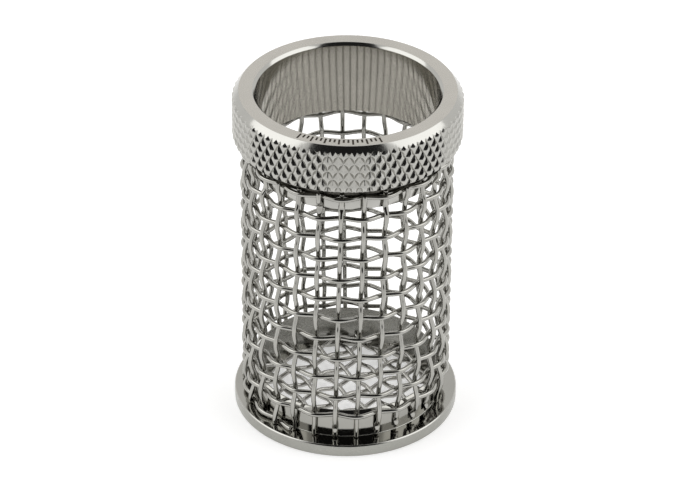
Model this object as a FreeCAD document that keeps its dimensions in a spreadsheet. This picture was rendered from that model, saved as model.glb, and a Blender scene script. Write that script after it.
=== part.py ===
"""Woven wire basket strainer, millimetres, +Z up, origin at the centre of the base.

A knurled collar on top and a flanged rim below are turned from bar. Between them stands a tube
of square-mesh plain weave: upright wires all round, crossed by hoop wires that pass in front of
one upright and behind the next. The woven sheet is rolled so that its edges meet at one seam,
and the uprights lean a little because it was rolled slightly askew. A disc punched out of the
same mesh closes the bottom and lies on a thin lip inside the rim.
"""

import FreeCAD, Part
import math
import os

import Sketcher
from FreeCAD import Placement, Rotation, Vector

doc = FreeCAD.newDocument("BasketStrainer")
sheet = doc.addObject("Spreadsheet::Sheet", "Dimensions")

DRIVING_DIMENSIONS = [
    ("wire_dia", 0.50, "diameter of every wire"),
    ("weave_gap", 0.01, "air between two wires where they cross"),
    ("mesh_radius", 10.60, "radius of the middle surface of the woven tube"),
    ("upright_count", 29, "upright wires round the tube"),
    ("upright_phase", -4.3, "degrees from the front (-Y) to upright 0, at lean_level"),
    ("upright_lean", 1.09, "degrees that the uprights lean, tops to the right seen from outside"),
    ("lean_level", 17.0, "height at which the lean is zero"),
    ("seam_upright", 19, "the last upright before the seam"),
    ("hoop_count", 12, "hoops that go all the way round"),
    ("hoop_top", 31.03, "height of the top hoop"),
    ("hoop_pitch", 2.432, "height from one hoop to the next"),
    ("seam_gap", 0.10, "gap between the two ends of a hoop at the seam"),
    ("short_hoop_uprights", 7, "uprights that the cut hoop under the others still crosses"),
    ("short_hoop_tail", 0.93, "steps that its cut end runs on past the last of them"),
    ("wire_top", 31.60, "height of the upper ends of the uprights"),
    ("wire_foot", 1.45, "height of the lower ends of the uprights"),
    ("spigot_radius", 10.07, "outside of both spigots that the tube is welded to"),
    ("collar_radius", 11.87, "outside of the knurled band"),
    ("collar_height", 5.35, "height of the collar above its spigot"),
    ("collar_spigot_length", 2.80, "length of the spigot under the collar"),
    ("collar_relief_radius", 9.77, "bottom of the relief groove turned under the knurled band"),
    ("collar_relief_width", 1.35, "width of that groove along the spigot"),
    ("collar_top", 37.60, "height of the collar's top face, the overall height"),
    ("collar_bore_radius", 9.46, "bore of the collar"),
    ("collar_bore_chamfer", 0.30, "chamfer at the mouth of the bore"),
    ("collar_rim_chamfer", 0.68, "width of the chamfer round the top of the knurled band"),
    ("collar_rim_chamfer_drop", 0.82, "height of that chamfer"),
    ("collar_foot_chamfer", 0.42, "chamfer round the foot of the knurled band"),
    ("rim_radius", 11.87, "outside of the bottom flange"),
    ("rim_thickness", 1.31, "thickness of the bottom flange"),
    ("rim_spigot_top", 4.36, "height of the rim's spigot above the base"),
    ("rim_spigot_chamfer", 0.42, "width of the chamfer round the outside of the spigot's top"),
    ("rim_spigot_drop", 0.44, "height of that chamfer"),
    ("rim_bore_radius", 9.55, "bore of the rim"),
    ("lip_radius", 8.50, "inside of the lip that the bottom screen lies on"),
    ("lip_thickness", 0.39, "thickness of that lip"),
    ("screen_radius", 9.48, "radius of the punched bottom screen"),
    ("screen_pitch", 2.375, "spacing of the screen's wires"),
    ("screen_angle", 35.0, "degrees from +X to the screen's warp wires"),
    ("screen_wires", 8, "wires each way in the screen"),
    ("warp_shift", -0.82, "warp wires' middle, off the centre of the disc"),
    ("weft_shift", -0.21, "weft wires' middle, off the centre of the disc"),
]
for row, (alias, value, meaning) in enumerate(DRIVING_DIMENSIONS, start=1):
    sheet.set(f"A{row}", str(value))
    sheet.setAlias(f"A{row}", alias)
    sheet.set(f"B{row}", meaning)
doc.recompute()

# Every sub-part that is exported, in the order in which it is built.
nodes = []


def size(alias):
    """Value of one driving dimension."""
    return float(sheet.get(alias))


def count(alias):
    """Value of a driving dimension that counts pieces."""
    return int(size(alias))


def polar(radius, angle, height=0.0):
    """Point at a radius and an angle in radians, measured from +X round +Z."""
    return Vector(radius * math.cos(angle), radius * math.sin(angle), height)


# ---------------------------------------------------------------- turned parts


def origin_feature(body, role):
    """One of the body's own planes or axes."""
    return next(item for item in body.Origin.OriginFeatures if item.Role == role)


def turned_part(name, outline):
    """Body revolved round Z from a closed outline of straight lines.

    The outline lists its corners as (radius expression, height expression), so that every
    corner of the sketch is tied to the spreadsheet.
    """
    body = doc.addObject("PartDesign::Body", name)
    body.Label = name
    sketch = body.newObject("Sketcher::SketchObject", name + "_section")
    sketch.AttachmentSupport = [(origin_feature(body, "XZ_Plane"), "")]
    sketch.MapMode = "FlatFace"

    corners = [
        Vector(float(sheet.evalExpression(radius)), float(sheet.evalExpression(height)), 0)
        for radius, height in outline
    ]
    for index, corner in enumerate(corners):
        following = corners[(index + 1) % len(corners)]
        sketch.addGeometry(Part.LineSegment(corner, following), False)
    for index in range(len(corners)):
        following = (index + 1) % len(corners)
        sketch.addConstraint(Sketcher.Constraint("Coincident", index, 2, following, 1))
    for index, (radius, height) in enumerate(outline):
        for kind, value, expression in (
            ("DistanceX", corners[index].x, radius),
            ("DistanceY", corners[index].y, height),
        ):
            if value == 0:
                sketch.addConstraint(Sketcher.Constraint("PointOnObject", index, 1, -1))
                continue
            number = sketch.addConstraint(Sketcher.Constraint(kind, -1, 1, index, 1, value))
            sketch.setExpression(f"Constraints[{number}]", expression)

    turning = body.newObject("PartDesign::Revolution", name + "_turning")
    turning.Profile = sketch
    turning.ReferenceAxis = (sketch, ["V_Axis"])
    turning.Angle = 360
    sketch.Visibility = False
    nodes.append(body)
    return body


def dim(alias):
    """Reference to a spreadsheet cell, for use in an expression."""
    return f"Dimensions.{alias}"


BAND_FOOT = f"{dim('collar_top')} - {dim('collar_height')}"

turned_part(
    "collar",
    [
        (dim("collar_bore_radius"), f"{BAND_FOOT} - {dim('collar_spigot_length')}"),
        (dim("collar_bore_radius"), f"{dim('collar_top')} - {dim('collar_bore_chamfer')}"),
        (f"{dim('collar_bore_radius')} + {dim('collar_bore_chamfer')}", dim("collar_top")),
        (f"{dim('collar_radius')} - {dim('collar_rim_chamfer')}", dim("collar_top")),
        (dim("collar_radius"), f"{dim('collar_top')} - {dim('collar_rim_chamfer_drop')}"),
        (dim("collar_radius"), f"{BAND_FOOT} + {dim('collar_foot_chamfer')}"),
        (f"{dim('collar_radius')} - {dim('collar_foot_chamfer')}", BAND_FOOT),
        (dim("collar_relief_radius"), BAND_FOOT),
        (dim("collar_relief_radius"), f"{BAND_FOOT} - {dim('collar_relief_width')}"),
        (dim("spigot_radius"), f"{BAND_FOOT} - {dim('collar_relief_width')}"),
        (dim("spigot_radius"), f"{BAND_FOOT} - {dim('collar_spigot_length')}"),
    ],
)

turned_part(
    "bottom_rim",
    [
        (dim("lip_radius"), "0"),
        (dim("rim_radius"), "0"),
        (dim("rim_radius"), dim("rim_thickness")),
        (dim("spigot_radius"), dim("rim_thickness")),
        (dim("spigot_radius"), f"{dim('rim_spigot_top')} - {dim('rim_spigot_drop')}"),
        (f"{dim('spigot_radius')} - {dim('rim_spigot_chamfer')}", dim("rim_spigot_top")),
        (dim("rim_bore_radius"), dim("rim_spigot_top")),
        (dim("rim_bore_radius"), dim("lip_thickness")),
        (dim("lip_radius"), dim("lip_thickness")),
    ],
)


# ---------------------------------------------------------------- woven wires

# Two crossing wires each swing this far off the middle surface.
SWING = (size("wire_dia") + size("weave_gap")) / 2
UPRIGHT_STEP = 2 * math.pi / count("upright_count")
FIRST_UPRIGHT = count("seam_upright") - count("upright_count") + 1
LAST_OVER_SHORT_HOOP = FIRST_UPRIGHT + count("short_hoop_uprights") - 1


def arc(start, middle, end):
    """Edge of a circular arc through three points."""
    return Part.Arc(start, middle, end).toShape()


def wire_rod(name, edges, first_direction):
    """Round rod swept along a chain of tangent arcs."""
    path = doc.addObject("Part::Feature", name + "_path")
    path.Shape = Part.Wire(edges)
    section = doc.addObject("Part::Circle", name + "_section")
    section.setExpression("Radius", f"{dim('wire_dia')} / 2")
    start = path.Shape.OrderedVertexes[0].Point
    section.Placement = Placement(start, Rotation(Vector(0, 0, 1), first_direction))
    rod = doc.addObject("Part::Sweep", name)
    rod.Label = name
    rod.Sections = [section]
    rod.Spine = (path, [f"Edge{number}" for number in range(1, len(edges) + 1)])
    rod.Solid = True
    rod.Frenet = False
    path.Visibility = False
    section.Visibility = False
    return rod


def hoop_height(hoop):
    """Height of a hoop, counted from 0 at the top."""
    return size("hoop_top") - hoop * size("hoop_pitch")


def lean_shift(height):
    """How far the leaning uprights have moved sideways at a height."""
    return (height - size("lean_level")) * math.tan(math.radians(size("upright_lean")))


def passes_outside(hoop, upright):
    """True where the hoop runs outside the upright: every other crossing."""
    return (hoop + upright) % 2 == 0


def hoop_bend_radius():
    """Bend radius that makes each bend of a hoop run smoothly into the next."""
    outer = size("mesh_radius") + SWING
    inner = size("mesh_radius") - SWING
    cosine = math.cos(UPRIGHT_STEP)
    square = 2 * (1 - cosine)
    linear = 2 * (outer - inner) * (1 + cosine)
    constant = outer**2 + inner**2 - 2 * cosine * outer * inner
    return (-linear + math.sqrt(linear**2 + 4 * square * constant)) / (2 * square)


def seam_share():
    """Share of a step from an upright to a hoop's end beside the seam."""
    return 0.5 - size("seam_gap") / 2 / size("mesh_radius") / UPRIGHT_STEP


def hoop_wire(name, hoop, first, last, end_share):
    """Hoop wire from beside the seam to a share of a step before or after the last upright."""
    bend = hoop_bend_radius()

    def centre(upright):
        """Centre of the bend at an upright."""
        if passes_outside(hoop, upright):
            return polar(size("mesh_radius") + SWING - bend, upright * UPRIGHT_STEP)
        return polar(size("mesh_radius") - SWING + bend, upright * UPRIGHT_STEP)

    def loose_end(upright, share):
        """End of the wire on the bend at an upright, a share of a step away from it."""
        ray = polar(1, (upright + share) * UPRIGHT_STEP)
        along = centre(upright).dot(ray)
        off_square = centre(upright).dot(centre(upright)) - along**2
        reach = math.sqrt(bend**2 - off_square)
        if passes_outside(hoop, upright):
            return ray * (along + reach)
        return ray * (along - reach)

    def halfway(upright, start, end):
        """Point on the bend at an upright, halfway between two others."""
        spoke = start + end - centre(upright) * 2
        return centre(upright) + spoke * (bend / spoke.Length)

    edges = []
    start = loose_end(first, -seam_share())
    for upright in range(first, last + 1):
        if upright == last:
            end = loose_end(last, end_share)
        else:
            end = (centre(upright) + centre(upright + 1)) / 2
        edges.append(arc(start, halfway(upright, start, end), end))
        start = end
    spoke = edges[0].valueAt(edges[0].FirstParameter) - centre(first)
    direction = Vector(-spoke.y, spoke.x, 0)
    rod = wire_rod(name, edges, direction)
    height = hoop_height(hoop)
    turn = -90 + size("upright_phase") + math.degrees(lean_shift(height) / size("mesh_radius"))
    rod.Placement = Placement(Vector(0, 0, height), Rotation(Vector(0, 0, 1), turn))
    nodes.append(rod)


def upright_bend_radius():
    """Bend radius that makes each bend of an upright run smoothly into the next."""
    return (size("hoop_pitch") ** 2 + 4 * SWING**2) / (8 * SWING)


def upright_wire(name, upright):
    """Upright wire, woven past every hoop and cut just above the bottom flange."""
    bend = upright_bend_radius()
    middle = size("mesh_radius")
    half_pitch = size("hoop_pitch") / 2

    def crossing_point(hoop):
        """Where the upright crosses a hoop, on the side away from it."""
        side = -1 if passes_outside(hoop, upright) else 1
        return Vector(middle + side * SWING, 0, hoop_height(hoop)), side

    def bend_centre(hoop):
        """Centre of the bend at a hoop."""
        crossing, side = crossing_point(hoop)
        return crossing - Vector(side * bend, 0, 0)

    def cut_end(hoop, height):
        """Point at a height on the bend at a hoop, where the wire is cut off."""
        _, side = crossing_point(hoop)
        rise = height - bend_centre(hoop).z
        return bend_centre(hoop) + Vector(side * math.sqrt(bend**2 - rise**2), 0, rise)

    edges = []
    start = cut_end(0, size("wire_top"))
    for hoop in range(count("hoop_count")):
        crossing, _ = crossing_point(hoop)
        end = Vector(middle, 0, hoop_height(hoop) - half_pitch)
        edges.append(arc(start, crossing, end))
        start = end
    crossing, side = crossing_point(count("hoop_count"))
    if side > 0 and upright > LAST_OVER_SHORT_HOOP:
        # Nothing holds it out at the foot, so it runs straight down the spigot of the rim.
        last_bend = edges.pop()
        start = last_bend.valueAt(last_bend.FirstParameter)
        last_hoop = count("hoop_count") - 1
        inside, _ = crossing_point(last_hoop)
        spoke = start + inside - bend_centre(last_hoop) * 2
        halfway = bend_centre(last_hoop) + spoke * (bend / spoke.Length)
        edges.append(arc(start, halfway, inside))
        foot = Vector(inside.x, 0, size("wire_foot"))
        edges.append(Part.LineSegment(inside, foot).toShape())
    else:
        foot = cut_end(count("hoop_count"), size("wire_foot"))
        edges.append(arc(start, crossing, foot))

    spoke = edges[0].valueAt(edges[0].FirstParameter) - bend_centre(0)
    rod = wire_rod(name, edges, Vector(-spoke.z, 0, spoke.x))
    # Lean it about the radius through the level where the lean is zero, then turn it into place.
    pivot = Vector(0, 0, size("lean_level"))
    lean = Placement(Vector(0, 0, 0), Rotation(Vector(1, 0, 0), -size("upright_lean")), pivot)
    angle = -90 + size("upright_phase") + math.degrees(upright * UPRIGHT_STEP)
    turn = Placement(Vector(0, 0, 0), Rotation(Vector(0, 0, 1), angle))
    rod.Placement = turn * lean
    nodes.append(rod)


for hoop in range(count("hoop_count")):
    name = f"hoop_wire_{hoop + 1:02d}"
    hoop_wire(name, hoop, FIRST_UPRIGHT, count("seam_upright"), seam_share())

hoop_wire(
    f"hoop_wire_{count('hoop_count') + 1:02d}",
    count("hoop_count"),
    FIRST_UPRIGHT,
    LAST_OVER_SHORT_HOOP + 1,
    size("short_hoop_tail") - 1,
)

for number in range(count("upright_count")):
    upright_wire(f"upright_wire_{number + 1:02d}", FIRST_UPRIGHT + number)


# ---------------------------------------------------------------- bottom screen

SCREEN_LEVEL = size("lip_thickness") + size("wire_dia") + size("weave_gap")


def screen_offsets(shift):
    """Offsets of one set of screen wires from the centre of the disc."""
    middle = (count("screen_wires") - 1) / 2
    return [(wire - middle) * size("screen_pitch") + shift for wire in range(count("screen_wires"))]


def screen_wire(name, wire, offset, crossings, turn):
    """Screen wire woven over one crossing wire and under the next, trimmed to the disc."""
    half_pitch = size("screen_pitch") / 2
    edges = []
    start = Vector(crossings[0] - half_pitch, 0, 0)
    for index, position in enumerate(crossings):
        over = (index + wire) % 2 == 0
        crossing = Vector(position, 0, SWING if over else -SWING)
        end = Vector(position + half_pitch, 0, 0)
        edges.append(arc(start, crossing, end))
        start = end
    rising = edges[0].tangentAt(edges[0].FirstParameter)
    rod = wire_rod(name + "_untrimmed", edges, rising)
    place = Placement(Vector(0, 0, SCREEN_LEVEL), Rotation(Vector(0, 0, 1), turn))
    rod.Placement = place * Placement(Vector(0, offset, 0), Rotation())

    disc = doc.addObject("Part::Cylinder", name + "_disc")
    disc.setExpression("Radius", dim("screen_radius"))
    disc.setExpression("Height", dim("rim_spigot_top"))
    trimmed = doc.addObject("Part::Common", name)
    trimmed.Label = name
    trimmed.Base = rod
    trimmed.Tool = disc
    nodes.append(trimmed)


warp_offsets = screen_offsets(size("warp_shift"))
weft_offsets = screen_offsets(size("weft_shift"))
for wire, offset in enumerate(warp_offsets):
    # Along a warp wire the weft wires are met in the order of their own offsets, reversed.
    crossings = [-weft for weft in reversed(weft_offsets)]
    screen_wire(f"screen_warp_{wire + 1:02d}", wire, offset, crossings, size("screen_angle"))
for wire, offset in enumerate(weft_offsets):
    turn = size("screen_angle") + 90
    screen_wire(f"screen_weft_{wire + 1:02d}", wire, offset, warp_offsets, turn)


# ---------------------------------------------------------------- check and export

doc.recompute()
for item in doc.Objects:
    faults = [state for state in item.State if state in ("Invalid", "Error")]
    if faults:
        raise RuntimeError(f"{item.Name} did not compute: {faults}")
for node in nodes:
    if node.Shape.isNull() or not node.Shape.isValid():
        raise RuntimeError(f"{node.Label} has no valid shape")

os.makedirs("parts", exist_ok=True)
for node in nodes:
    node.Shape.exportStep(os.path.join("parts", node.Label + ".step"))
print(f"{len(nodes)} parts written")
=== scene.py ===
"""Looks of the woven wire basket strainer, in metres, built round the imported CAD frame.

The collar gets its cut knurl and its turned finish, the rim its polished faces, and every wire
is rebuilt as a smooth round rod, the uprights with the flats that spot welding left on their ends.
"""

import math

import bpy
import numpy as np
from mathutils import Matrix, Vector


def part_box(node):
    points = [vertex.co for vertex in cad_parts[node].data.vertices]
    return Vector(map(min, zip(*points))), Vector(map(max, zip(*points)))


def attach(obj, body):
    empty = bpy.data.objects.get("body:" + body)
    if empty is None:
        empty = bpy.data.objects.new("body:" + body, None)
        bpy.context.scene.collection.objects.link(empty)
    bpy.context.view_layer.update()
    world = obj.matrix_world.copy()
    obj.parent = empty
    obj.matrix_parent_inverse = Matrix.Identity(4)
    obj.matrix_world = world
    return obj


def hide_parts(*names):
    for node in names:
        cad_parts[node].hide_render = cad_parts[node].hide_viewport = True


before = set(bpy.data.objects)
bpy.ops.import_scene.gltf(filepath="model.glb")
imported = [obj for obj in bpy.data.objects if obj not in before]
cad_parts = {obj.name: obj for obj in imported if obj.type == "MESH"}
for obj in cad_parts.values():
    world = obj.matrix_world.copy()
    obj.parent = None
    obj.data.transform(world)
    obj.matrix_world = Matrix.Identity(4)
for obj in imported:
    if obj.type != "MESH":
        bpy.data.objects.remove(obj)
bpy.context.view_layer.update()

MM = 0.001
TURN = 2 * math.pi


def middle(node):
    """Middle of a CAD node's box."""
    low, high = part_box(node)
    return (low + high) / 2


# ---------------------------------------------------------------- driving sizes

HOOPS = sorted(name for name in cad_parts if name.startswith("hoop_wire"))
UPRIGHTS = sorted(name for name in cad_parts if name.startswith("upright_wire"))
WARPS = sorted(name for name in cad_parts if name.startswith("screen_warp"))
WEFTS = sorted(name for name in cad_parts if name.startswith("screen_weft"))

hoop_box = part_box(HOOPS[0])
collar_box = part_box("collar")
rim_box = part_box("bottom_rim")

WIRE_RADIUS = (hoop_box[1].z - hoop_box[0].z) / 2
WEAVE_GAP = 0.01 * MM
SWING = WIRE_RADIUS + WEAVE_GAP / 2
MESH_RADIUS = 10.60 * MM
UPRIGHT_STEP = TURN / len(UPRIGHTS)
UPRIGHT_PHASE = math.radians(-4.3)
UPRIGHT_LEAN = math.tan(math.radians(1.09))
LEAN_LEVEL = 17.0 * MM
SEAM_UPRIGHT = 19
FIRST_UPRIGHT = SEAM_UPRIGHT - len(UPRIGHTS) + 1
HOOP_TOP = middle(HOOPS[0]).z
HOOP_PITCH = (HOOP_TOP - middle(HOOPS[-1]).z) / (len(HOOPS) - 1)
SHORT_HOOP_LAST = FIRST_UPRIGHT + 6
SHORT_HOOP_TAIL = 0.93
SHORT_HOOP_SINK = 0.27 * MM
SPIGOT_RADIUS = 10.07 * MM
SEAM_HALF_GAP = 0.05 * MM
WIRE_TOP = 31.60 * MM
WIRE_FOOT = 1.45 * MM

COLLAR_TOP = collar_box[1].z
COLLAR_RADIUS = (collar_box[1].x - collar_box[0].x) / 2
BAND_FOOT = COLLAR_TOP - 5.35 * MM
COLLAR_FOOT = collar_box[0].z
RELIEF_RADIUS = 9.77 * MM
RELIEF_FOOT = BAND_FOOT - 1.35 * MM
COLLAR_BORE = 9.46 * MM
BORE_CHAMFER = 0.30 * MM
CROWN_CHAMFER = 0.68 * MM
CROWN_DROP = 0.82 * MM
FOOT_CHAMFER = 0.42 * MM

RIM_RADIUS = (rim_box[1].x - rim_box[0].x) / 2
FLANGE_TOP = 1.31 * MM
RIM_TOP = rim_box[1].z
RIM_BORE = 9.55 * MM
LIP_RADIUS = 8.50 * MM
LIP_TOP = 0.39 * MM

SCREEN_RADIUS = 9.48 * MM
SCREEN_PITCH = 2.375 * MM
SCREEN_ANGLE = math.radians(35.0)
SCREEN_LEVEL = LIP_TOP + 2 * SWING
WARP_SHIFT = -0.82 * MM
WEFT_SHIFT = -0.21 * MM


# ---------------------------------------------------------------- mesh helpers


def new_piece(name, points, faces, smooth=True):
    """Mesh object from points and faces."""
    mesh = bpy.data.meshes.new(name)
    mesh.from_pydata([tuple(point) for point in points], [], faces)
    mesh.validate()
    mesh.update()
    mesh.polygons.foreach_set("use_smooth", [smooth] * len(mesh.polygons))
    piece = bpy.data.objects.new(name, mesh)
    bpy.context.scene.collection.objects.link(piece)
    return piece


def unit(vectors):
    """Each row scaled to length one."""
    return vectors / np.linalg.norm(vectors, axis=1, keepdims=True)


def rod(name, centres, sideways, half_widths, half_depths, sides=20):
    """Closed rod along a centre line, with an elliptical section and lightly rounded ends.

    sideways gives the direction of the section's width at each point; the depth lies across it.
    """
    along = unit(np.gradient(centres, axis=0))
    sideways = unit(sideways - along * np.sum(sideways * along, axis=1, keepdims=True))
    outwards = np.cross(along, sideways)
    angles = np.linspace(0, TURN, sides, endpoint=False)

    rings = []
    for index, centre in enumerate(centres):
        ring = centre + (
            np.outer(np.cos(angles), sideways[index]) * half_widths[index]
            + np.outer(np.sin(angles), outwards[index]) * half_depths[index]
        )
        rings.append(ring)
    rounding = 0.04 * MM
    first = centres[0] + (rings[0] - centres[0]) * 0.82
    last = centres[-1] + (rings[-1] - centres[-1]) * 0.82
    rings[0] = rings[0] + along[0] * rounding
    rings[-1] = rings[-1] - along[-1] * rounding
    rings = [first] + rings + [last]

    faces = []
    for ring in range(len(rings) - 1):
        for side in range(sides):
            here = ring * sides + side
            beside = ring * sides + (side + 1) % sides
            faces.append((here, beside, beside + sides, here + sides))
    end = (len(rings) - 1) * sides
    faces.append(tuple(range(sides - 1, -1, -1)))
    faces.append(tuple(range(end, end + sides)))
    piece = new_piece(name, np.concatenate(rings), faces)
    piece.data.set_sharp_from_angle(angle=math.radians(50))
    return piece


def bump_shape(values, centre, half_width):
    """1 at the centre, falling smoothly to 0 at half_width either side."""
    distance = np.clip(np.abs(values - centre) / half_width, 0, 1)
    return 0.5 + 0.5 * np.cos(math.pi * distance)


def rounded(outline, radius, steps=3):
    """Closed (radius, height) outline with every corner rounded by a small arc of points."""
    points = []
    for index, corner in enumerate(outline):
        corner = np.array(corner)
        before = np.array(outline[index - 1])
        after = np.array(outline[(index + 1) % len(outline)])
        back = (before - corner) / np.linalg.norm(before - corner)
        ahead = (after - corner) / np.linalg.norm(after - corner)
        cut = min(
            radius,
            0.4 * np.linalg.norm(before - corner),
            0.4 * np.linalg.norm(after - corner),
        )
        for step in range(steps + 1):
            share = step / steps
            points.append(
                corner + back * cut * (1 - share) ** 2 + ahead * cut * share**2
            )
    return points


def turned(name, outline, segments, edge_radius):
    """Solid of revolution round Z from a closed (radius, height) outline."""
    section = rounded(outline, edge_radius)
    count = len(section)
    points = []
    for segment in range(segments):
        angle = TURN * segment / segments
        for radius, height in section:
            points.append((radius * math.cos(angle), radius * math.sin(angle), height))
    faces = []
    for segment in range(segments):
        following = (segment + 1) % segments
        for index in range(count):
            beside = (index + 1) % count
            faces.append((
                segment * count + index,
                following * count + index,
                following * count + beside,
                segment * count + beside,
            ))
    piece = new_piece(name, points, faces)
    piece.data.set_sharp_from_angle(angle=math.radians(24))
    return piece


def place(piece, node, slot, *materials):
    """Give a piece its finishes, let it ride on the basket and stand in for its CAD node."""
    piece.data.materials.clear()
    for material in materials:
        piece.data.materials.append(material)
    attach(piece, "root")
    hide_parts(node)


def choose_finish(piece, which):
    """Pick each face's finish with which(radius, height, normal), an index of its materials."""
    for face in piece.data.polygons:
        middle_of_face = face.center
        radius = math.hypot(middle_of_face.x, middle_of_face.y)
        face.material_index = which(radius, middle_of_face.z, face.normal)


# ---------------------------------------------------------------- materials


def shader_nodes(material):
    """Node tree, its Principled shader and a helper that adds linked nodes."""
    material.use_nodes = True
    tree = material.node_tree
    shader = tree.nodes["Principled BSDF"]

    def add(kind, inputs=None, **settings):
        node = tree.nodes.new(kind)
        for key, value in settings.items():
            setattr(node, key, value)
        for key, value in (inputs or {}).items():
            if isinstance(value, bpy.types.NodeSocket):
                tree.links.new(value, node.inputs[key])
            else:
                node.inputs[key].default_value = value
        return node

    return tree, shader, add


def steel(name, tint, roughness, spread, stretch, bump=0.02, anisotropy=0.0, blotch=0.06):
    """Bare stainless steel with fine marks.

    stretch scales the marks' noise along X, Y and Z: a small number draws them out that way.
    spread is how much the roughness wanders, and blotch how much the tone does.
    """
    material = bpy.data.materials.new(name)
    tree, shader, add = shader_nodes(material)
    place_in = add("ShaderNodeTexCoord")
    mapping = add("ShaderNodeMapping", {"Vector": place_in.outputs["Object"], "Scale": stretch})
    marks = add(
        "ShaderNodeTexNoise",
        {"Vector": mapping.outputs["Vector"], "Scale": 1.0, "Detail": 4.0, "Roughness": 0.6},
    )
    clouds = add(
        "ShaderNodeTexNoise",
        {"Vector": place_in.outputs["Object"], "Scale": 450.0, "Detail": 3.0},
    )
    rough = add(
        "ShaderNodeMapRange",
        {
            "Value": marks.outputs["Fac"],
            "From Min": 0.3,
            "From Max": 0.7,
            "To Min": roughness - spread,
            "To Max": roughness + spread,
        },
    )
    tone = add("ShaderNodeMix", {"Factor": clouds.outputs["Fac"]}, data_type="RGBA")
    dark = [channel * (1 - blotch) for channel in tint] + [1.0]
    light = [min(1.0, channel * (1 + blotch)) for channel in tint] + [1.0]
    tone.inputs[6].default_value = dark
    tone.inputs[7].default_value = light
    relief = add(
        "ShaderNodeBump",
        {"Height": marks.outputs["Fac"], "Strength": bump, "Distance": 0.05 * MM},
    )
    tree.links.new(tone.outputs[2], shader.inputs["Base Color"])
    tree.links.new(rough.outputs["Result"], shader.inputs["Roughness"])
    tree.links.new(relief.outputs["Normal"], shader.inputs["Normal"])
    shader.inputs["Metallic"].default_value = 1.0
    if anisotropy:
        shader.inputs["Anisotropic"].default_value = anisotropy
        shader.inputs["Anisotropic Rotation"].default_value = 0.25
        tangent = add("ShaderNodeTangent", direction_type="RADIAL", axis="Z")
        tree.links.new(tangent.outputs["Tangent"], shader.inputs["Tangent"])
    return material


WARM_STEEL = (0.488, 0.470, 0.432)
GREY_STEEL = (0.430, 0.426, 0.402)
WIRE_STEEL = (0.380, 0.375, 0.350)

face_steel = steel("collar_face_steel", WARM_STEEL, 0.26, 0.04, (3000, 3000, 9000), 0.02, 0.8)
bore_steel = steel("collar_bore_steel", (0.355, 0.340, 0.302), 0.12, 0.03, (3000, 3000, 9000),
                   0.02, 1.0, 0.12)
chamfer_steel = steel("collar_chamfer_steel", GREY_STEEL, 0.13, 0.02, (3000, 3000, 9000), 0.02)
knurl_steel = steel("knurl_steel", (0.43, 0.425, 0.40), 0.09, 0.04, (6000, 6000, 6000), 0.05)
flange_steel = steel("flange_steel", (0.35, 0.345, 0.32), 0.08, 0.02, (3000, 3000, 9000), 0.02, 0.6)
rim_bore_steel = steel("rim_bore_steel", (0.44, 0.435, 0.405), 0.28, 0.04, (3000, 3000, 9000),
                       0.03, 0.8)
edge_steel = steel("flange_edge_steel", (0.370, 0.368, 0.340), 0.30, 0.05,
                   (2500, 2500, 9000), 0.04)
hoop_steel = steel("hoop_steel", WIRE_STEEL, 0.07, 0.03, (2500, 2500, 9000), 0.03)
upright_steel = steel("upright_steel", WIRE_STEEL, 0.07, 0.03, (9000, 9000, 1800), 0.03)
screen_steel = steel("screen_steel", (0.475, 0.468, 0.445), 0.10, 0.04, (5000, 5000, 5000), 0.03)
# Near-black steel in the relief groove and under the band: painted shade in the recess.
groove_painted_shade_steel = steel("relief_groove_painted_shade_steel", (0.12, 0.115, 0.10), 0.30, 0.06, (3000, 3000, 9000),
                     0.05)
etched_steel = steel("etched_steel", (0.05, 0.04, 0.03), 0.45, 0.05, (6000, 6000, 6000), 0.1)


# ---------------------------------------------------------------- collar

# Tolerance for telling which surface a face of a turned part belongs to.
NEAR = 0.02 * MM

# The roundings, the tip's flat and the grooves' floor are shares of half a pitch.
KNURL_STARTS = 68
KNURL_PITCH = 1.79 * MM
KNURL_SLOPE = 0.37 * MM
KNURL_ROUNDING = 0.05
TIP_FLAT = 0.30
TIP_ROUNDING = 0.05
GROOVE_FLOOR = 0.97
KNURL_PHASE = math.radians(0.82)
TIP_LEVEL = 35.70 * MM
FACET_STEPS = 8
EDGE = 0.04 * MM

collar_outline = [
    (COLLAR_BORE, COLLAR_FOOT),
    (SPIGOT_RADIUS, COLLAR_FOOT),
    (SPIGOT_RADIUS, RELIEF_FOOT),
    (RELIEF_RADIUS, RELIEF_FOOT),
    (RELIEF_RADIUS, BAND_FOOT),
    (COLLAR_RADIUS - FOOT_CHAMFER, BAND_FOOT),
    (COLLAR_RADIUS, BAND_FOOT + FOOT_CHAMFER),
    (COLLAR_RADIUS, COLLAR_TOP - CROWN_DROP),
    (COLLAR_RADIUS - CROWN_CHAMFER, COLLAR_TOP),
    (COLLAR_BORE + BORE_CHAMFER, COLLAR_TOP),
    (COLLAR_BORE, COLLAR_TOP - BORE_CHAMFER),
]


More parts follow.
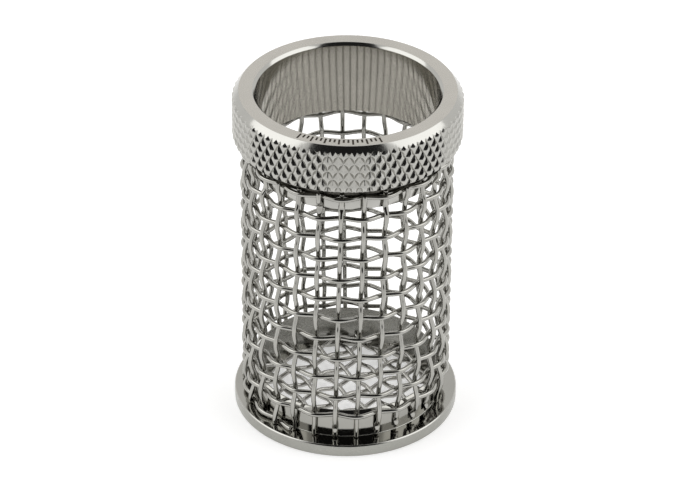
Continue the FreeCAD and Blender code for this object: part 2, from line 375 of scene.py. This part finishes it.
def knurled_blank():
    """Tall bar whose outside is cut by two crossing sets of helical V grooves.

    across and along count half pitches from a tip, so the grooves are the diagonals where their
    sum or their difference is odd. The four-sided pyramids left between them have worn, flattened
    tips, and the grooves have a narrow floor.
    """
    columns = 2 * KNURL_STARTS * FACET_STEPS
    half_pitch = KNURL_PITCH / 2
    first = -8 * FACET_STEPS
    last = 3 * FACET_STEPS
    across = np.arange(columns) / FACET_STEPS
    along = np.arange(first, last + 1) / FACET_STEPS

    across, along = np.meshgrid(across, along)
    one = np.abs((across + along + 1) % 2 - 1)
    other = np.abs((across - along + 1) % 2 - 1)
    soften = KNURL_ROUNDING
    slope = (one + other + np.sqrt((one - other) ** 2 + soften**2) - soften) / 2
    fall = np.minimum(slope, GROOVE_FLOOR) - TIP_FLAT
    fall = (fall + np.sqrt(fall**2 + TIP_ROUNDING**2)) / 2
    radius = COLLAR_RADIUS - KNURL_SLOPE * (fall - fall.min())
    angle = math.pi * across / KNURL_STARTS + KNURL_PHASE
    height = TIP_LEVEL + along * half_pitch
    points = np.stack(
        [radius * np.sin(angle), -radius * np.cos(angle), height], axis=2
    ).reshape(-1, 3)

    faces = []
    for row in range(last - first):
        for column in range(columns):
            beside = (column + 1) % columns
            low_left = row * columns + column
            low_right = row * columns + beside
            high_left = low_left + columns
            high_right = low_right + columns
            rising = ((row + first) // FACET_STEPS + column // FACET_STEPS) % 2 == 1
            if rising:
                faces.append((low_left, low_right, high_right))
                faces.append((low_left, high_right, high_left))
            else:
                faces.append((low_left, low_right, high_left))
                faces.append((low_right, high_right, high_left))
    top = (last - first) * columns
    faces.append(tuple(range(columns - 1, -1, -1)))
    faces.append(tuple(range(top, top + columns)))
    return new_piece("knurled_blank", points, faces, smooth=False)


def combine(piece, tool, operation):
    """Apply an exact boolean with another mesh, then remove that mesh."""
    change = piece.modifiers.new(operation.lower(), "BOOLEAN")
    change.object = tool
    change.operation = operation
    change.solver = "EXACT"
    view_layer = bpy.context.view_layer
    view_layer.update()
    result = bpy.data.meshes.new_from_object(
        piece.evaluated_get(view_layer.depsgraph), depsgraph=view_layer.depsgraph
    )
    piece.modifiers.clear()
    piece.data = result
    bpy.data.objects.remove(tool)


TICKS = 19
TICK_MIDDLE = 10.46 * MM
TICK_LENGTH = 0.92 * MM
TICK_WIDTH = 0.20 * MM
TICK_DEPTH = 0.05 * MM
TICK_STEP = math.radians(2.55)
TICK_CENTRE = math.radians(-4.6)


def tick_cutter():
    """Row of narrow blocks that sink plain radial ticks into the top face, every third long."""
    points = []
    faces = []
    for tick in range(TICKS):
        angle = TICK_CENTRE + (tick - (TICKS - 1) / 2) * TICK_STEP
        outwards = Vector((math.sin(angle), -math.cos(angle), 0))
        sideways = Vector((math.cos(angle), math.sin(angle), 0))
        inner = TICK_MIDDLE - TICK_LENGTH / 2
        outer = inner + TICK_LENGTH * (1.0 if tick % 3 == 0 else 0.62)
        base = len(points)
        for height in (COLLAR_TOP - TICK_DEPTH, COLLAR_TOP + TICK_DEPTH):
            for radius, side in ((inner, -1), (outer, -1), (outer, 1), (inner, 1)):
                point = outwards * radius + sideways * side * TICK_WIDTH / 2
                points.append((point.x, point.y, height))
        for corners in (
            (0, 1, 5, 4), (1, 2, 6, 5), (2, 3, 7, 6), (3, 0, 4, 7), (3, 2, 1, 0), (4, 5, 6, 7)
        ):
            faces.append([base + corner for corner in corners])
    return new_piece("tick_cutter", points, faces, smooth=False)


collar = turned("collar_turned", collar_outline, 5 * KNURL_STARTS, EDGE)
combine(collar, knurled_blank(), "INTERSECT")
combine(collar, tick_cutter(), "DIFFERENCE")
collar.data.polygons.foreach_set("use_smooth", [True] * len(collar.data.polygons))
collar.data.set_sharp_from_angle(angle=math.radians(12))


CROWN_SLOPE = CROWN_CHAMFER / math.hypot(CROWN_CHAMFER, CROWN_DROP)


def collar_finish(radius, height, normal):
    """0 top face, 1 bore, 2 chamfers and spigot, 3 knurl, 4 etched ticks, 5 under the band,
    near-black steel as painted shade.
    """
    if radius < COLLAR_BORE + NEAR:
        return 1
    if height > COLLAR_TOP - NEAR / 4:
        return 0
    # The relief groove and the faces looking down under the band get the painted-shade steel.
    in_groove = RELIEF_FOOT - NEAR / 2 < height < BAND_FOOT and radius < SPIGOT_RADIUS
    if in_groove or height > RELIEF_FOOT and normal.z < -0.6:
        return 5
    if height < BAND_FOOT + NEAR:
        return 2
    if height > COLLAR_TOP - CROWN_DROP and abs(normal.z - CROWN_SLOPE) < 0.04:
        return 2
    if abs(radius - TICK_MIDDLE) < (TICK_LENGTH + NEAR) / 2:
        return 4
    if radius < COLLAR_BORE + BORE_CHAMFER + NEAR:
        return 2
    return 3


place(collar, "collar", "turned_steel", face_steel, bore_steel, chamfer_steel, knurl_steel,
      etched_steel, groove_painted_shade_steel)
choose_finish(collar, collar_finish)


# ---------------------------------------------------------------- bottom rim

EDGE_BREAK = 0.12 * MM
SPIGOT_CHAMFER = 0.42 * MM
SPIGOT_DROP = 0.44 * MM
COVE = 0.07 * MM


def rim_finish(radius, height, normal):
    """0 flange and spigot, 1 flange's edge and spigot's foot, 2 broken corner, 3 bore."""
    if radius > RIM_RADIUS - NEAR:
        return 1
    if FLANGE_TOP < height < FLANGE_TOP + COVE and 0.5 < normal.z < 0.9:
        return 1
    if radius > RIM_RADIUS - EDGE_BREAK:
        return 2
    if radius < RIM_BORE + NEAR:
        return 3
    return 0


rim = turned(
    "bottom_rim_turned",
    [
        (LIP_RADIUS, 0.0),
        (RIM_RADIUS, 0.0),
        (RIM_RADIUS, FLANGE_TOP - EDGE_BREAK),
        (RIM_RADIUS - EDGE_BREAK, FLANGE_TOP),
        (SPIGOT_RADIUS + COVE, FLANGE_TOP),
        (SPIGOT_RADIUS, FLANGE_TOP + COVE),
        (SPIGOT_RADIUS, RIM_TOP - SPIGOT_DROP),
        (SPIGOT_RADIUS - SPIGOT_CHAMFER, RIM_TOP),
        (RIM_BORE, RIM_TOP),
        (RIM_BORE, LIP_TOP),
        (LIP_RADIUS, LIP_TOP),
    ],
    320,
    EDGE,
)
place(rim, "bottom_rim", "rim_steel", flange_steel, edge_steel, chamfer_steel, rim_bore_steel)
choose_finish(rim, rim_finish)


# ---------------------------------------------------------------- woven tube


def lean_turn(height):
    """Angle by which the leaning uprights have moved round at a height."""
    return (height - LEAN_LEVEL) * UPRIGHT_LEAN / MESH_RADIUS


def hoop_rod(number, last, overhang):
    """Hoop wire from beside the seam to a little past an upright, outside every other one."""
    samples_per_step = 12
    start = FIRST_UPRIGHT - 0.5 + SEAM_HALF_GAP / (UPRIGHT_STEP * MESH_RADIUS)
    end = last + overhang
    count = int((end - start) * samples_per_step) + 1
    steps = np.linspace(start, end, count)
    heights = np.full(count, HOOP_TOP - number * HOOP_PITCH)
    if number == len(HOOPS) - 1:
        heights -= SHORT_HOOP_SINK * np.clip((steps - last + 1.5) / 2, 0, 1)
    angles = UPRIGHT_PHASE + lean_turn(heights) + steps * UPRIGHT_STEP
    radii = MESH_RADIUS + SWING * np.cos(math.pi * (steps + number))
    centres = np.stack([radii * np.sin(angles), -radii * np.cos(angles), heights], axis=1)
    up = np.tile([0.0, 0.0, 1.0], (count, 1))
    size = np.full(count, WIRE_RADIUS)
    return rod(f"hoop_{number + 1:02d}", centres, up, size, size)


TOP_WELD_LEVEL = 29.75 * MM
TOP_WELD_REACH = 1.00 * MM
FOOT_WELD_LEVEL = 2.55 * MM
FOOT_WELD_REACH = 0.70 * MM
CUT_END_REACH = 0.45 * MM
WELD_SPREAD = 0.12 * MM
WELD_FLATTENING = 0.09 * MM
WELD_STRENGTHS = (1.0, 0.85, 1.1, 0.7, 0.95, 0.0, 0.8)
FREE_FEET = (-2, 1)


def weld_strength(upright, end):
    """How hard a spot weld has squashed an upright at its top (end 0) or its foot (end 1)."""
    strength = WELD_STRENGTHS[(upright * 5 + end * 3) % len(WELD_STRENGTHS)]
    if end == 0:
        strength *= 0.8 if upright % 9 in (0, 1, 2, 5, 8) else 0.3
    return strength


def upright_rod(number, upright):
    """Upright wire, leaning a little, with the flats of its spot welds at both ends."""
    over_short_hoop = upright <= SHORT_HOOP_LAST
    foot_weld = 0.0 if over_short_hoop or upright in FREE_FEET else weld_strength(upright, 1)
    top_weld = weld_strength(upright, 0)
    top = WIRE_TOP - 0.10 * MM * (1 + math.sin(2.1 * upright))
    foot = WIRE_FOOT + 0.30 * MM * foot_weld
    heights = np.linspace(top, foot, 170)
    crossings = (HOOP_TOP - heights) / HOOP_PITCH
    radii = MESH_RADIUS - SWING * np.cos(math.pi * (crossings + upright))
    if upright % 2 and not over_short_hoop:
        below_last_hoop = crossings > len(HOOPS) - 2
        radii = np.where(below_last_hoop, MESH_RADIUS - SWING, radii)

    upper = bump_shape(heights, TOP_WELD_LEVEL, TOP_WELD_REACH) * top_weld
    lower = (
        bump_shape(heights, FOOT_WELD_LEVEL, FOOT_WELD_REACH)
        + 0.8 * bump_shape(heights, foot, CUT_END_REACH)
    ) * foot_weld
    squash = np.clip(upper + lower, 0, 1.2)
    widths = WIRE_RADIUS + WELD_SPREAD * squash
    depths = WIRE_RADIUS - WELD_FLATTENING * squash
    pressed = SPIGOT_RADIUS + depths + 0.005 * MM
    held = np.clip(squash, 0, 1)
    radii = radii * (1 - held) + pressed * held

    angles = UPRIGHT_PHASE + upright * UPRIGHT_STEP + lean_turn(heights)
    outwards = np.stack([np.sin(angles), -np.cos(angles), np.zeros(len(heights))], axis=1)
    sideways = np.stack([np.cos(angles), np.sin(angles), np.zeros(len(heights))], axis=1)
    centres = outwards * radii[:, None]
    centres[:, 2] = heights
    return rod(f"upright_{number + 1:02d}", centres, sideways, widths, depths)


for number, node in enumerate(HOOPS):
    if number < len(HOOPS) - 1:
        seam_end = 0.5 - SEAM_HALF_GAP / (UPRIGHT_STEP * MESH_RADIUS)
        piece = hoop_rod(number, SEAM_UPRIGHT, seam_end)
    else:
        piece = hoop_rod(number, SHORT_HOOP_LAST, SHORT_HOOP_TAIL)
    place(piece, node, "hoop_wire", hoop_steel)

for number, node in enumerate(UPRIGHTS):
    place(upright_rod(number, FIRST_UPRIGHT + number), node, "upright_wire", upright_steel)


# ---------------------------------------------------------------- bottom screen


def screen_rod(name, offset, along, across, crossings, number):
    """Screen wire at an offset from the centre, woven over one crossing wire, under the next."""
    reach = math.sqrt(SCREEN_RADIUS**2 - (abs(offset) + WIRE_RADIUS) ** 2)
    count = max(24, int(reach / SCREEN_PITCH * 28))
    travel = np.linspace(-reach, reach, count)
    phase = (travel - crossings[0]) / SCREEN_PITCH
    heights = SCREEN_LEVEL + SWING * np.cos(math.pi * (phase + number))
    centres = np.outer(travel, along) + offset * across
    centres[:, 2] = heights
    sideways = np.tile(across, (count, 1))
    size = np.full(count, WIRE_RADIUS)
    return rod(name, centres, sideways, size, size, sides=16)


def screen_offsets(count, shift):
    """Offsets of one set of screen wires from the centre."""
    return [(wire - (count - 1) / 2) * SCREEN_PITCH + shift for wire in range(count)]


warp_along = np.array([math.cos(SCREEN_ANGLE), math.sin(SCREEN_ANGLE), 0.0])
weft_along = np.array([-math.sin(SCREEN_ANGLE), math.cos(SCREEN_ANGLE), 0.0])
warp_offsets = screen_offsets(len(WARPS), WARP_SHIFT)
weft_offsets = screen_offsets(len(WEFTS), WEFT_SHIFT)
weft_crossings = [-offset for offset in reversed(weft_offsets)]

for number, (node, offset) in enumerate(zip(WARPS, warp_offsets)):
    piece = screen_rod(f"screen_along_{number + 1:02d}", offset, warp_along, weft_along,
                       weft_crossings, number)
    place(piece, node, "screen_wire", screen_steel)
for number, (node, offset) in enumerate(zip(WEFTS, weft_offsets)):
    piece = screen_rod(f"screen_across_{number + 1:02d}", offset, weft_along, -warp_along,
                       warp_offsets, number)
    place(piece, node, "screen_wire", screen_steel)


# ---------------------------------------------------------------- studio

FLOOR_SIZE = 6.0
FLOOR_LEVEL = -0.01 * MM
floor = new_piece(
    "floor",
    [
        (-FLOOR_SIZE, -FLOOR_SIZE, FLOOR_LEVEL),
        (FLOOR_SIZE, -FLOOR_SIZE, FLOOR_LEVEL),
        (FLOOR_SIZE, FLOOR_SIZE, FLOOR_LEVEL),
        (-FLOOR_SIZE, FLOOR_SIZE, FLOOR_LEVEL),
    ],
    [(0, 1, 2, 3)],
)

# Painted shade: the paper dims along Y between the start and end places below, down to the given
# level of its full tone.
PAINTED_SHADE_START = -0.030
PAINTED_SHADE_END = -0.070
PAINTED_SHADE_LEVEL = 0.80
PAPER_TONE = 0.86
PAPER_GLOW = 0.42


def white_table():
    """Bright paper with painted shade, a little dimmer in front of the basket, towards the open
    side.
    """
    paper = bpy.data.materials.new("white_table")
    tree, shader, add = shader_nodes(paper)
    where = add("ShaderNodeTexCoord")
    apart = add("ShaderNodeSeparateXYZ", {"Vector": where.outputs["Object"]})
    # Painted shade: tone and glow scaled down along Y towards the front.
    fall = add(
        "ShaderNodeMapRange",
        {
            "Value": apart.outputs["Y"],
            "From Min": PAINTED_SHADE_END,
            "From Max": PAINTED_SHADE_START,
            "To Min": PAINTED_SHADE_LEVEL,
            "To Max": 1.0,
        },
    )
    shade = add("ShaderNodeMath", {0: fall.outputs["Result"], 1: PAPER_TONE},
                operation="MULTIPLY")
    glow = add("ShaderNodeMath", {0: fall.outputs["Result"], 1: PAPER_GLOW},
               operation="MULTIPLY")
    tree.links.new(shade.outputs["Value"], shader.inputs["Base Color"])
    tree.links.new(glow.outputs["Value"], shader.inputs["Emission Strength"])
    shader.inputs["Emission Color"].default_value = (1.0, 1.0, 1.0, 1.0)
    shader.inputs["Roughness"].default_value = 0.9
    shader.inputs["Specular IOR Level"].default_value = 0.0
    return paper


floor.data.materials.append(white_table())


def direction(azimuth, elevation):
    """Unit vector; azimuth in degrees from the front, growing to the right."""
    turn = math.radians(azimuth)
    rise = math.radians(elevation)
    return Vector((
        math.sin(turn) * math.cos(rise), -math.cos(turn) * math.cos(rise), math.sin(rise)
    ))


TENT_LEVEL = 1.0
MOUTH_LEVEL = 0.02
MOUTH_SPREAD = 1.12
MOUTH_NARROWING = -0.08
MOUTH_TOP = 86.0


def light_tent():
    """White tent all round, with the dark mouth that the picture is taken through."""
    world = bpy.data.worlds.new("light_tent")
    bpy.context.scene.world = world
    world.use_nodes = True
    tree = world.node_tree
    background = tree.nodes["Background"]
    where = tree.nodes.new("ShaderNodeTexCoord")

    def maths(operation, first, second):
        node = tree.nodes.new("ShaderNodeMath")
        node.operation = operation
        for socket, value in zip(node.inputs, (first, second)):
            if isinstance(value, bpy.types.NodeSocket):
                tree.links.new(value, socket)
            else:
                socket.default_value = value
        return node.outputs["Value"]

    def facing(vector):
        """Cosine between the looked-up direction and a fixed one."""
        node = tree.nodes.new("ShaderNodeVectorMath")
        node.operation = "DOT_PRODUCT"
        tree.links.new(where.outputs["Generated"], node.inputs[0])
        node.inputs[1].default_value = vector
        return node.outputs["Value"]

    def edge(value):
        """0 where the value is negative, 1 where it is positive, with a narrow soft step."""
        node = tree.nodes.new("ShaderNodeMapRange")
        node.interpolation_type = "SMOOTHSTEP"
        tree.links.new(value, node.inputs["Value"])
        node.inputs["From Min"].default_value = -0.03
        node.inputs["From Max"].default_value = 0.03
        return node.outputs["Result"]

    sideways = maths("ABSOLUTE", facing(Vector((1, 0, 0))), 0.0)
    ahead = maths("SUBTRACT", facing(Vector((0, -1, -MOUTH_NARROWING))),
                  maths("MULTIPLY", sideways, MOUTH_SPREAD))
    below = facing(direction(180, 90 - MOUTH_TOP) * -1)
    opening = maths("MULTIPLY", edge(ahead), edge(below))
    level = maths("SUBTRACT", TENT_LEVEL, maths("MULTIPLY", opening, TENT_LEVEL - MOUTH_LEVEL))
    tree.links.new(level, background.inputs["Strength"])
    background.inputs["Color"].default_value = (1.0, 0.995, 0.985, 1.0)


SOFTBOX_ELEVATION = 42
SOFTBOX_DISTANCE = 0.60
SOFTBOX_WIDTH = 0.48
SOFTBOX_HEIGHT = 0.40
SOFTBOX_POWER = 0.65


def softbox(name, azimuth):
    """Rectangular soft light that faces the basket."""
    lamp = bpy.data.lights.new(name, "AREA")
    lamp.shape = "RECTANGLE"
    lamp.size = SOFTBOX_WIDTH
    lamp.size_y = SOFTBOX_HEIGHT
    lamp.energy = SOFTBOX_POWER
    holder = bpy.data.objects.new(name, lamp)
    bpy.context.scene.collection.objects.link(holder)
    target = Vector((0, 0, COLLAR_TOP / 2))
    away = direction(azimuth, SOFTBOX_ELEVATION)
    holder.location = target + away * SOFTBOX_DISTANCE
    holder.rotation_euler = (-away).to_track_quat("-Z", "Y").to_euler()


light_tent()
softbox("softbox_left", -86)
softbox("softbox_right", 86)


# ---------------------------------------------------------------- camera

CAMERA_DISTANCE = 0.36957
CAMERA_ELEVATION = 32.96
CAMERA_ROLL = 0.4945
CAMERA_LENS = 181.27
AIM_HEIGHT = 18.0 * MM

camera_data = bpy.data.cameras.new("camera")
camera_data.lens = CAMERA_LENS
camera_data.sensor_width = 36.0
camera_data.shift_x = 0.00487
camera_data.shift_y = 0.00089
camera_data.clip_start = 0.01
camera_data.clip_end = 20.0
camera = bpy.data.objects.new("camera", camera_data)
bpy.context.scene.collection.objects.link(camera)
aim = Vector((0, 0, AIM_HEIGHT))
camera.location = aim + direction(0, CAMERA_ELEVATION) * CAMERA_DISTANCE
looking = (aim - camera.location).to_track_quat("-Z", "Y")
roll = Matrix.Rotation(math.radians(CAMERA_ROLL), 4, "Z")
camera.rotation_euler = (looking.to_matrix().to_4x4() @ roll).to_euler()
bpy.context.scene.camera = camera
bpy.context.scene.view_settings.view_transform = "Standard"
